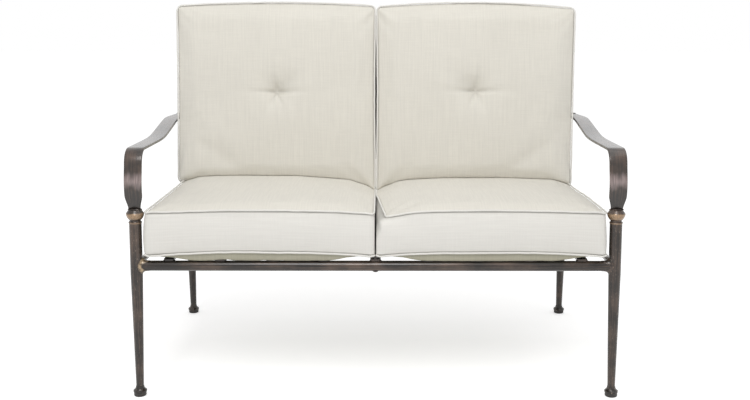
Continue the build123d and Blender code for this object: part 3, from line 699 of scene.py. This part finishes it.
class BoxedCover:
    """A sewn box cushion in its own plane: two panels, the boxing between them, and their two seams.

    rise(top, u, v, width, height) is a panel's swell, settle(spot) moves a place once the cushion is in use,
    and creased(u, v, width, height) says how deep in a fold a place on the top panel is, for the painted
    shade that greys the cloth there.
    """

    def __init__(self, corners, radius, bows, plane, thickness, grid_steps, rise, settle, seam_tuck,
                 creased=lambda u, v, width, height: 0.0):
        self.creased = creased
        self.origin, self.across, self.up, self.out = plane
        self.thickness, self.rise, self.settle, self.seam_tuck = thickness, rise, settle, seam_tuck
        corners = [Vector(corner) for corner in corners]
        self.width, self.height = (corners[1] - corners[0]).length, (corners[3] - corners[0]).length
        self.column_shares = side_shares(self.width, *grid_steps)
        self.row_shares = side_shares(self.height, *grid_steps)
        self.columns, self.rows = len(self.column_shares) - 1, len(self.row_shares) - 1
        self.lines = [cushion_side(corners[number], corners[(number + 1) % 4], corners[number - 1],
                                   corners[(number + 2) % 4], radius, bows[number], shares)
                      for number, shares in enumerate((self.column_shares, self.row_shares) * 2)]

    def inside(self, column, row):
        """A point of the panel's grid, blended from the four sides."""
        u, v = self.column_shares[column], self.row_shares[row]
        low, right = self.lines[0][column], self.lines[1][row]
        high, left = self.lines[2][self.columns - column], self.lines[3][self.rows - row]
        ends = (self.lines[0][0], self.lines[0][-1], self.lines[2][0], self.lines[2][-1])
        blend = ends[0] * (1 - u) * (1 - v) + ends[1] * u * (1 - v) + ends[2] * u * v + ends[3] * (1 - u) * v
        return low * (1 - v) + high * v + left * (1 - u) + right * u - blend

    def place(self, point, level):
        spot = self.settle(Vector((point.x, point.y, level)))
        return self.origin + self.across * spot.x + self.up * spot.y + self.out * spot.z

    def gap_to_seam(self, place):
        """How far a place lies from the nearer seam's level."""
        level = (place - self.origin).dot(self.out)
        return min(abs(level), abs(level - self.thickness))

    def build(self, name, sign, materials, puff, boxing_steps):
        """The right cushion's piece, or its mirror image where the sign is negative."""
        form = bmesh.new()
        uv = form.loops.layers.uv.new("UVMap")
        crease = form.edges.layers.float.new("crease_edge")
        painted_shade_gap = form.verts.layers.float.new("painted_shade_gap")
        ring = [point for line in self.lines for point in line[:-1]]
        count = len(ring)
        outward = []
        for before, after in zip(ring[-1:] + ring, ring[1:] + ring[:1]):
            way = (after - before).normalized()
            outward.append(Vector((way.y, -way.x)))
        shares = side_shares(self.thickness, *boxing_steps)
        rows = []
        for share in shares:
            swell = puff * math.sin(math.pi * share) ** 0.6 if 0 < share < 1 else -self.seam_tuck
            rows.append([form.verts.new(self.place(point + out * swell, self.thickness * share))
                         for point, out in zip(ring, outward)])
            for vertex in rows[-1]:
                vertex[painted_shade_gap] = min(share, 1 - share) * self.thickness
        skin_rows(form, uv, rows, running_lengths(ring + ring[:1]),
                  [self.thickness * share for share in shares], part=1)
        spots = [(column, 0) for column in range(self.columns)]
        spots += [(self.columns, row) for row in range(self.rows)]
        spots += [(column, self.rows) for column in range(self.columns, 0, -1)]
        spots += [(0, row) for row in range(self.rows, 0, -1)]
        for panel, seam, top in ((0, rows[-1], True), (2, rows[0], False)):
            grid = dict(zip(spots, seam))
            for column in range(1, self.columns):
                for row in range(1, self.rows):
                    where = (self.column_shares[column], self.row_shares[row], self.width, self.height)
                    lift = self.rise(top, *where)
                    grid[column, row] = form.verts.new(self.place(
                        self.inside(column, row), self.thickness + lift if top else -lift))
                    # In the tuft's folds the seam distance is cut down, so the cloth there is greyed as
                    # painted shade.
                    crease_depth = self.creased(*where) if top else 0.0
                    grid[column, row][painted_shade_gap] = min(*edge_gaps(*where), painted_shade_reach * (1 - crease_depth))
            for column in range(self.columns):
                for row in range(self.rows):
                    quad = [(column, row), (column + 1, row), (column + 1, row + 1), (column, row + 1)]
                    if not top:
                        quad.reverse()
                    add_face(form, uv, [grid[spot] for spot in quad],
                             [self.inside(*spot) for spot in quad], panel)
        for row in (rows[0], rows[-1]):
            for vertex, after in zip(row, row[1:] + row[:1]):
                form.edges.get((vertex, after))[crease] = 0.6
        piece = shaped(form, name, materials, turn_out=False)
        last = (len(rows) - 1) * count
        self.seams = [list(range(count)), list(range(last, last + count))]
        piece.vertex_groups.new(name="seams").add(self.seams[0] + self.seams[1], 1.0, "REPLACE")
        if sign < 0:
            for vertex in piece.data.vertices:
                vertex.co.x = -vertex.co.x
            piece.data.flip_normals()
        return piece


def stuffed(piece, cap):
    """Blows the cover up like filled cloth between its pinned seams, then keeps the shape."""
    scene, frames = bpy.context.scene, 20
    modifier = piece.modifiers.new("stuffing", "CLOTH")
    for setting, value in (("quality", 5), ("mass", 0.3), ("tension_stiffness", 30),
                           ("compression_stiffness", 30), ("bending_stiffness", 1.0), ("use_pressure", True),
                           ("uniform_pressure_force", 4.0), ("vertex_group_mass", "seams")):
        setattr(modifier.settings, setting, value)
    modifier.settings.effector_weights.gravity = 0
    modifier.point_cache.frame_start, modifier.point_cache.frame_end = 1, frames
    for step in range(1, frames + 1):
        scene.frame_set(step)
    blown = piece.evaluated_get(bpy.context.evaluated_depsgraph_get()).to_mesh()
    for vertex, place in zip(piece.data.vertices, [vertex.co.copy() for vertex in blown.vertices]):
        step = place - vertex.co
        vertex.co += step * min(1.0, cap / max(step.length, cap * 0.01))
    piece.modifiers.remove(modifier)
    scene.frame_set(1)


def refined(piece):
    """One subdivision, applied."""
    modifier = piece.modifiers.new("smooth", "SUBSURF")
    modifier.levels = modifier.render_levels = 1
    mesh = bpy.data.meshes.new_from_object(piece.evaluated_get(bpy.context.evaluated_depsgraph_get()))
    piece.modifiers.remove(modifier)
    piece.data = mesh


def ruffled(piece, seed, breadth, gap_to_seam):
    """Lets the cover wander as sewn cloth does: slow waves, and short puckers beside the seams."""
    offset = Vector((seed * 3.7, seed * 1.9, seed * 5.3))
    wave_depth, still_reach = 0.0026, 0.008
    pucker_depth, pucker_breadth, pucker_reach = 0.0011, 0.026, 0.025
    moves = []
    for vertex in piece.data.vertices:
        gap = gap_to_seam(vertex.co)
        wave = noise.noise(vertex.co / breadth + offset) * wave_depth
        pucker = noise.noise(vertex.co / pucker_breadth + offset) * pucker_depth
        total = wave + pucker * math.exp(-gap / pucker_reach)
        moves.append(vertex.normal * total * min(1.0, gap / still_reach))
    for vertex, move in zip(piece.data.vertices, moves):
        vertex.co += move


cord_radius, cord_stand, cord_side_gap = 0.0023, 0.0033, 0.0026
cord, cord_in, cord_out = new_group("welt_cord", "GeometryNodeTree", [
    ("Geometry", "Geometry", None),
    ("Cord radius", "Float", cord_radius),
    ("Sides", "Int", 10),
    ("Cloth", "Material", None),
], [("Geometry", "Geometry")])
cord_round = cord.add("GeometryNodeCurvePrimitiveCircle", {
    "Resolution": cord_in["Sides"], "Radius": cord_in["Cord radius"]})
cord_skin = cord.add("GeometryNodeCurveToMesh", {
    "Curve": cord_in["Geometry"], "Profile Curve": cord_round.outputs["Curve"]})
end_tree(cord, cord_skin.outputs["Mesh"], cord_in["Cloth"], cord_out["Geometry"])


def welt(name, cover, seam, body, sign):
    """A cord-filled welt that stands out along a cover's seam, its UV in metres along and round it."""
    line = bpy.data.curves.new(name, "CURVE")
    line.dimensions = "3D"
    spline = line.splines.new("POLY")
    spline.points.add(len(seam) - 1)
    path = [cover.data.vertices[index].co + cover.data.vertices[index].normal * cord_stand for index in seam]
    for spot, place in zip(spline.points, path):
        place += noise.noise_vector(place * 45) * 0.0007
        place.x = sign * max(cord_side_gap, sign * place.x)
        spot.co = (*place, 1.0)
    spline.use_cyclic_u = True
    mesh = grown_from(cord.tree, name, line, {"Cloth": welt_linen})
    around = len(mesh.vertices) // len(path)
    along = running_lengths(path + path[:1])
    uv = mesh.uv_layers.new(name="UVMap").data
    for face in mesh.polygons:
        spots = [divmod(mesh.loops[index].vertex_index, around) for index in face.loop_indices]
        last_row, last_part = max(row for row, part in spots), max(part for row, part in spots)
        for index, (row, part) in zip(face.loop_indices, spots):
            row += len(path) if last_row - row > 1 else 0
            part += around if last_part - part > 1 else 0
            uv[index].uv = (along[row], part * math.tau * cord_radius / around)
    piece = new_object(name, mesh)
    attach(piece, body)


def finished(kind, side, sign, cover, seams, slab):
    """Says which cushion a cover belongs to, and adds the welts in its seams and the foam slab inside."""
    body = f"{kind}_cushion_{side}"
    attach(cover, body)
    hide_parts(f"{kind}_cover_{side}")
    for label, seam in seams:
        welt(f"{kind}_welt_{label}_{side}", cover, seam, body, sign)
    foam = slab.build(f"{kind}_foam_slab_{side}", sign, [foam_material] * 3, puff=0.001,
                      boxing_steps=(0.02, 0.006, 1.0))
    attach(foam, body)
    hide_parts(f"{kind}_foam_{side}")


seat_low, seat_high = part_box("seat_cover_right")
seat_inner, seat_front, seat_outer, seat_rear = seat_low.x, seat_low.y, seat_high.x, seat_high.y
seat_seam_low, seat_seam_high = 0.360, 0.462
seat_thickness = seat_seam_high - seat_seam_low
seat_drop = 0.0165
seat_widest = 0.5565
deck_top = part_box("seat_strap_1")[1].z
strap_middles = [sum(corner.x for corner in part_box(f"seat_strap_{number}")) / 2 for number in range(1, 10)]
strap_half = 0.0125
strap_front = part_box("seat_strap_5")[0].y


def rectangle(low, high):
    return [(low.x, low.y), (high.x, low.y), (high.x, high.y), (low.x, high.y)]


def seat_rise(top, u, v, width, height):
    side_gap, end_gap = edge_gaps(u, v, width, height)
    if top:
        return 0.0085 * roll(side_gap, 0.028) * roll(end_gap, 0.03) + 0.0048 * dome(u) ** 0.8 * dome(v) ** 0.8
    return seat_drop * smooth_share(side_gap, -0.01, 0.125) * roll(end_gap, 0.009 if v < 0.5 else 0.016)


def seat_settling(sign):
    """How a used seat cushion leaves its sewn shape, for the right or the left one."""
    corner_pull = Vector((0.018, 0.011, -0.0105)) if sign > 0 else Vector((0.003, 0.003, -0.002))

    def settle(spot):
        across = unit((spot.x - seat_inner) / (seat_outer - seat_inner))
        deep = unit((spot.y - seat_front) / (seat_rear - seat_front))
        level = unit(spot.z / seat_thickness)
        hold = unit(1 + spot.z / seat_drop)
        fade = (0.35 + 0.65 * (1 - deep) ** 2) * hold
        low_lift, high_lift = -0.0015 + 0.0095 * dome(across), -0.0015 + 0.006 * dome(across)
        move = Vector((0, 0, (low_lift * (1 - level) + high_lift * level) * fade))
        by_outer = smooth_share(across, 0.75, 1.0)
        bulge = (0.0025 - 0.0042 * level) * math.sin(math.pi * min(1.0, deep * 1.1))
        move.x += by_outer * (bulge + 0.0055 * (1 - level) * (1 - deep))
        by_corner = (1 - smooth_share(across, 0.0, 0.2)) * max(0.0, 1 - deep / 0.5) ** 1.2
        move += corner_pull * by_corner * smooth_share(level, 0.72, 1.0)
        if sign > 0:
            move.x += 0.0055 * by_corner * smooth_share(level, 0.3, 0.62)
        by_valley = math.exp(-(spot.x - seat_inner) / 0.038)
        pressed = 1.0 if sign > 0 else 1 - smooth_share(spot.x, 0.10, 0.26)
        sunk = 0.017 * by_valley + 0.008 * pressed
        move.z -= sunk * smooth_share(deep, 0.3, 0.7) * smooth_share(level, 0.1, 1.0)
        return spot + move
    return settle


def deck_under(place):
    """The lowest that the cloth reaches: on a strap, sagging a little between two, or before their ends."""
    gap = min(abs(place.x - middle) for middle in strap_middles) - strap_half
    before = strap_front - place.y
    sag = 0.0042 * max(smooth_share(gap, 0.0, 0.022), smooth_share(before, 0.0003, 0.002))
    return deck_top + 0.0004 - sag


def slab_settling(settle, level):
    """The cover's settling, for the foam slab that starts at this level inside it."""
    offset = Vector((0, 0, level))
    return lambda spot: settle(spot + offset) - offset


flat_axes = (Vector((1, 0, 0)), Vector((0, 1, 0)), Vector((0, 0, 1)))
seat_foam_low, seat_foam_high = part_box("seat_foam_right")
seat_covers = {}
for side, sign in sides:
    settle = seat_settling(sign)
    seat = BoxedCover(rectangle(seat_low, seat_high), radius=0.013, bows=(0, 0, -0.005, 0),
                      plane=(Vector((0, 0, seat_seam_low)), *flat_axes), thickness=seat_thickness,
                      grid_steps=(0.0105, 0.0016, 1.0), rise=seat_rise, settle=settle, seam_tuck=0.0012)
    cover = seat.build(f"seat_cushion_cover_{side}", sign, [panel_linen, boxing_linen, under_linen],
                       puff=0.0035, boxing_steps=(0.010, 0.002, 1.0))
    stuffed(cover, cap=0.0048)
    refined(cover)
    ruffled(cover, 3 + sign, breadth=0.15, gap_to_seam=seat.gap_to_seam)
    for vertex in cover.data.vertices:
        vertex.co.z = max(vertex.co.z, deck_under(vertex.co))
        gap = 0.0004 + 0.0016 * (1 - smooth_share(vertex.co.y, seat_front + 0.10, seat_front + 0.35))
        vertex.co.x = sign * min(seat_widest, max(gap, sign * vertex.co.x))
    # Painted shade: on the right cushion, the inner side by the front top corner is greyed, where the gap
    # between the two seat cushions lies in shadow.
    if sign > 0:
        for vertex, painted_shade_gap in zip(cover.data.vertices, cover.data.attributes["painted_shade_gap"].data):
            facing = smooth_share(-vertex.normal.x, 0.25, 0.8) * smooth_share(vertex.co.z, 0.408, 0.435)
            near = 0.62 * facing * (1 - smooth_share(vertex.co.y, seat_front + 0.02, seat_front + 0.13))
            painted_shade_gap.value = min(painted_shade_gap.value, painted_shade_reach * (1 - near))
    seat_covers[side] = cover
    slab = BoxedCover(rectangle(seat_foam_low, seat_foam_high), radius=0.010, bows=(0, 0, 0, 0),
                      plane=(Vector((0, 0, seat_foam_low.z)), *flat_axes),
                      thickness=seat_foam_high.z - seat_foam_low.z, grid_steps=(0.03, 0.006, 1.0),
                      rise=lambda top, u, v, width, height: 0.004 * dome(u) * dome(v) if top else 0.0,
                      settle=slab_settling(settle, seat_foam_low.z - seat_seam_low), seam_tuck=0.0)
    finished("seat", side, sign, cover, zip(("lower", "upper"), seat.seams), slab)


# Back cushions
# Made like the seat cushions, but thicker, and crowned at the head. A thread pulled through the middle
# gathers the front panel into one tuft without a button, and the foot is pressed on the seat cushion.
back_thickness = 0.152
back_foot = -0.04009
back_head = back_foot + 0.498
knee_y = front_feet_y + 0.615
back_out = Vector((0, -math.cos(recline), math.sin(recline)))
back_origin = Vector((0, knee_y, 0.470)) + back_out * 0.0178
back_axes = (Vector((1, 0, 0)), back_up, back_out)
back_inner, back_foot_outer, back_head_outer = 0.0025, 0.550, 0.558
tuft_x = (back_inner + (back_foot_outer + back_head_outer) / 2) / 2
tuft_y = back_foot + 0.253
# Each fold's angle, depth, width and reach.
tuft_folds = (
    (1, 0.0100, 0.0034, 0.038), (179, 0.0110, 0.0036, 0.040), (86, 0.0080, 0.0034, 0.026),
    (-62, 0.0105, 0.0034, 0.026), (-114, 0.0100, 0.0034, 0.026), (-90, -0.0060, 0.0046, 0.018),
    (142, 0.0050, 0.020, 0.075), (38, 0.0026, 0.014, 0.05),
)


def tuft_depth(u, v, width, height):
    """How far the thread draws the front panel in here, and how deep in one of its folds this is."""
    dx, dy = back_inner + u * width - tuft_x, back_foot + v * height - tuft_y
    reach = math.hypot(dx, dy)
    depth, crease = 0.012 * math.exp(-reach / 0.012) + 0.013 * math.exp(-(reach / 0.045) ** 2), 0.0
    for angle, deep, wide, far in tuft_folds:
        way = Vector((math.cos(math.radians(angle)), math.sin(math.radians(angle))))
        along, aside = dx * way.x + dy * way.y, dy * way.x - dx * way.y
        if along > 0:
            ridge = math.exp(-(aside / (wide + along * 0.1)) ** 2) * math.exp(-along / far)
            depth += deep * ridge * (1 - math.exp(-along / 0.005))
            crease = max(crease, ridge * max(0.0, deep) / 0.011)
    return depth, crease


def back_rise(top, u, v, width, height):
    if not top:
        return 0.0
    side_gap, end_gap = edge_gaps(u, v, width, height)
    edge = roll(side_gap, 0.035) * roll(end_gap, 0.035)
    slump = 0.0050 * math.exp(-((u * 0.71 - v - 0.41) / 0.055) ** 2) * smooth_share(u, 0.55, 0.8)
    crown = 0.0085 * dome(u) ** 0.8 * dome(v) ** 0.8
    return (0.0095 - slump) * edge + crown - tuft_depth(u, v, width, height)[0]


def back_settling(sign):
    """The sewn shape's unevenness: the head's corners, the wider front and the seam rolled under the foot."""
    inner_head, outer_head = (0.0009, -0.0033) if sign > 0 else (0.003, 0.003)

    def settle(spot):
        across = unit((spot.x - back_inner) / (back_foot_outer - back_inner))
        high = unit((spot.y - back_foot) / (back_head - back_foot))
        level = unit(spot.z / back_thickness)
        by_outer = smooth_share(across, 0.75, 1.0)
        move = Vector((0.0045 * level * by_outer, 0, 0))
        move.x += (0.0055 if sign < 0 else -0.0025) * by_outer * (1 - high) * level
        if sign > 0:
            move.y -= 0.013 * by_outer * (1 - smooth_share(high, 0.0, 0.12))
        move.y += (inner_head * (1 - across) + outer_head * across) * smooth_share(high, 0.8, 1.0)
        move.z -= 0.011 * (1 - smooth_share(high, 0.0, 0.035)) * smooth_share(level, 0.7, 1.0)
        move.y -= 0.038 * math.exp(-(spot.x - back_inner) / 0.045) * (1 - smooth_share(high, 0.0, 0.16))
        return spot + move
    return settle


back_corners = [(back_inner, back_foot), (back_foot_outer, back_foot),
                (back_head_outer, back_head), (back_inner, back_head)]
slab_foot, slab_head, slab_inset = 0.012, back_head - 0.014, 0.012
slab_corners = [(0.015, slab_foot), (0.538, slab_foot), (0.544, slab_head), (0.015, slab_head)]
for side, sign in sides:
    head_bow = 0.0125 if sign > 0 else 0.0087
    back = BoxedCover(back_corners, radius=0.016, bows=(0, -0.001, head_bow, -0.0032),
                      plane=(back_origin, *back_axes), thickness=back_thickness,
                      grid_steps=(0.0105, 0.0016, 0.0026), rise=back_rise, settle=back_settling(sign),
                      seam_tuck=0.0012, creased=lambda *where: tuft_depth(*where)[1])
    cover = back.build(f"back_cushion_cover_{side}", sign, [panel_linen, boxing_linen, panel_linen],
                       puff=0.0035, boxing_steps=(0.011, 0.002, 1.0))
    stuffed(cover, cap=0.006)
    refined(cover)
    ruffled(cover, 11 + 2 * sign, breadth=0.17, gap_to_seam=back.gap_to_seam)
    seat_mesh = seat_covers[side].data
    below = BVHTree.FromPolygons([vertex.co for vertex in seat_mesh.vertices],
                                 [face.vertices for face in seat_mesh.polygons])
    for vertex in cover.data.vertices:
        vertex.co -= back_out * min(0.0, (vertex.co - back_origin).dot(back_out))
        high = (vertex.co - back_origin).dot(back_up) / back_head
        gap = 0.0005 + 0.0013 * smooth_share(high, 0.22, 0.36) * (1 - smooth_share(high, 0.80, 0.90))
        vertex.co.x = sign * max(gap, sign * vertex.co.x)
        if vertex.co.z < 0.52:
            hit = below.ray_cast(Vector((vertex.co.x, vertex.co.y, 0.6)), Vector((0, 0, -1)))[0]
            cushion_top = max(hit.z if hit else 0.0, seat_seam_high - 0.034)
            vertex.co.z = max(vertex.co.z, cushion_top + 0.0008)
    slab = BoxedCover(slab_corners, radius=0.010, bows=(0, 0, 0.008, 0),
                      plane=(back_origin + back_out * slab_inset, *back_axes),
                      thickness=back_thickness - 2 * slab_inset, grid_steps=(0.03, 0.006, 0.007),
                      rise=lambda top, *where: -1.15 * tuft_depth(*where)[0] if top else 0.0,
                      settle=lambda spot: spot, seam_tuck=0.0)
    finished("back", side, sign, cover, zip(("rear", "front"), back.seams), slab)


# Studio
# A pale seamless floor in a plain pale room, lit by one soft box from above and in front and a weaker
# one from above. The camera stands where the photo was taken from.
white = (1.0, 1.0, 1.0, 1.0)
floor_mesh = bpy.data.meshes.new("studio_floor")
floor_mesh.from_pydata([(-30, -30, 0), (30, -30, 0), (30, 30, 0), (-30, 30, 0)], [], [(0, 1, 2, 3)])
floor_white = bpy.data.materials.new("studio_floor_white")
room = bpy.data.worlds.new("studio_room")
bpy.context.scene.world = room


def emptied(holder):
    """A material's or world's own tree without its nodes, and 1 on it for each ray that the camera sees."""
    holder.use_nodes = True
    holder.node_tree.nodes.clear()
    tree = NodeTree(holder.node_tree)
    rays = tree.add("ShaderNodeLightPath").outputs
    glassy = tree.maths("MAXIMUM", rays["Is Glossy Ray"], rays["Is Transmission Ray"])
    return tree, tree.maths("MAXIMUM", rays["Is Camera Ray"], glassy)


floor_tree, floor_seen = emptied(floor_white)
floor_diffuse = floor_tree.add("ShaderNodeBsdfDiffuse", {"Color": (0.9, 0.9, 0.9, 1.0)})
floor_glow = floor_tree.add("ShaderNodeEmission", {
    "Color": white, "Strength": floor_tree.maths("MULTIPLY", floor_seen, 0.5)})
floor_sum = floor_tree.add("ShaderNodeAddShader", {0: floor_diffuse.outputs[0], 1: floor_glow.outputs[0]})
floor_tree.add("ShaderNodeOutputMaterial", {"Surface": floor_sum.outputs[0]})
floor_mesh.materials.append(floor_white)
floor = new_object("studio_floor", floor_mesh)

room_tree, room_seen = emptied(room)
room_light = room_tree.add("ShaderNodeBackground", {"Color": white, "Strength": 0.6})
room_shown = room_tree.add("ShaderNodeBackground", {"Color": white, "Strength": 1.0})
room_mix = room_tree.add("ShaderNodeMixShader", {
    0: room_seen, 1: room_light.outputs[0], 2: room_shown.outputs[0]})
room_tree.add("ShaderNodeOutputWorld", {"Surface": room_mix.outputs[0]})


def soft_box(name, place, target, width, height, power):
    lamp = bpy.data.lights.new(name, "AREA")
    lamp.shape = "RECTANGLE"
    lamp.size, lamp.size_y, lamp.energy = width, height, power
    holder = new_object(name, lamp)
    holder.location = place
    holder.rotation_euler = (Vector(target) - Vector(place)).to_track_quat("-Z", "Y").to_euler()


soft_box("soft_box_front", (-0.3, -2.9, 3.3), (0, 0, 0.5), 1.5, 1.7, 66.0)
soft_box("soft_box_top", (0.6, -0.6, 3.2), (0, 0, 0.4), 3.0, 2.2, 19.0)

# Fitted to the photo: focal length in its pixels, where the lens is, and how it is pitched and rolled.
focal_pixels, picture_width, sensor_width = 936.73, 750, 36.0
lens_x, lens_distance, lens_height = 0.0068, 2.18683, 0.89794
pitch_down, roll_left = 0.184, 0.0036
camera_data = bpy.data.cameras.new("photo_camera")
camera_data.sensor_width = sensor_width
camera_data.lens = focal_pixels / picture_width * sensor_width
camera = new_object("photo_camera", camera_data)
camera.location = (lens_x, front_feet_y - lens_distance, lens_height)
camera.rotation_euler = (math.pi / 2 - pitch_down, 0, roll_left)
bpy.context.scene.camera = camera
bpy.context.scene.view_settings.view_transform = "Standard"
